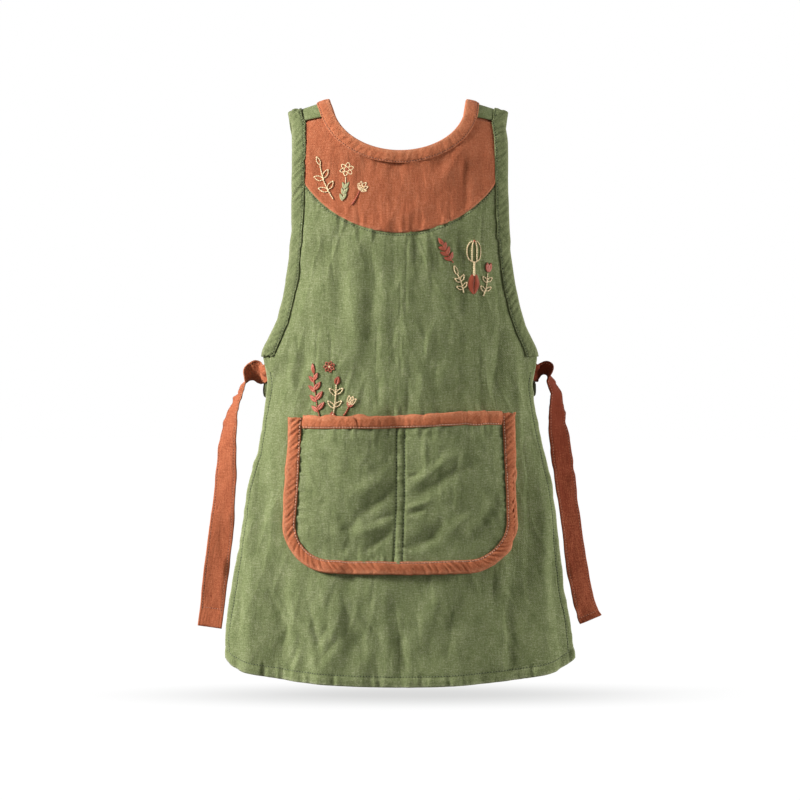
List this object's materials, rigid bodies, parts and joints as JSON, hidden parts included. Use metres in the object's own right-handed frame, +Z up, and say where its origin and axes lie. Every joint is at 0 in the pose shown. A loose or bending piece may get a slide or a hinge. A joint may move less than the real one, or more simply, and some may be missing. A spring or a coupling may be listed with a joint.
{
  "type": "gardening apron",
  "caption": "Child's linen gardening apron with a curved yoke, bound neck and armholes, a divided front pocket, side ties and straps that cross at the back, held in its worn form.",
  "frame": {"origin": "midway between the two shoulder straps where they cross the shoulder line, level with their centre lines", "axes": "+Z up as worn, +Y from the front panel towards the back, +X to the right for someone who looks at the front"},
  "size_m": [0.4069, 0.1783, 0.5885],
  "materials": {
    "green_linen": "plain woven linen, washed, slubby, matt",
    "green_binding": "bias cut linen tape, folded and stitched, matt",
    "rust_linen": "plain woven linen in rust, washed, matt",
    "rust_binding": "bias cut linen tape in rust, folded and stitched, matt"
  },
  "bodies": {
    "root": {"body_panel": "green_linen", "yoke": "rust_linen", "shoulder_strap_left": "green_linen", "shoulder_strap_right": "green_linen", "neck_binding": "rust_binding", "armhole_binding_left": "green_binding", "armhole_binding_right": "green_binding", "pocket_panel": "green_linen", "pocket_side_binding": "rust_binding", "pocket_top_binding": "rust_binding", "tie_left": "rust_linen", "tie_right": "rust_linen"}
  },
  "joints": []
}
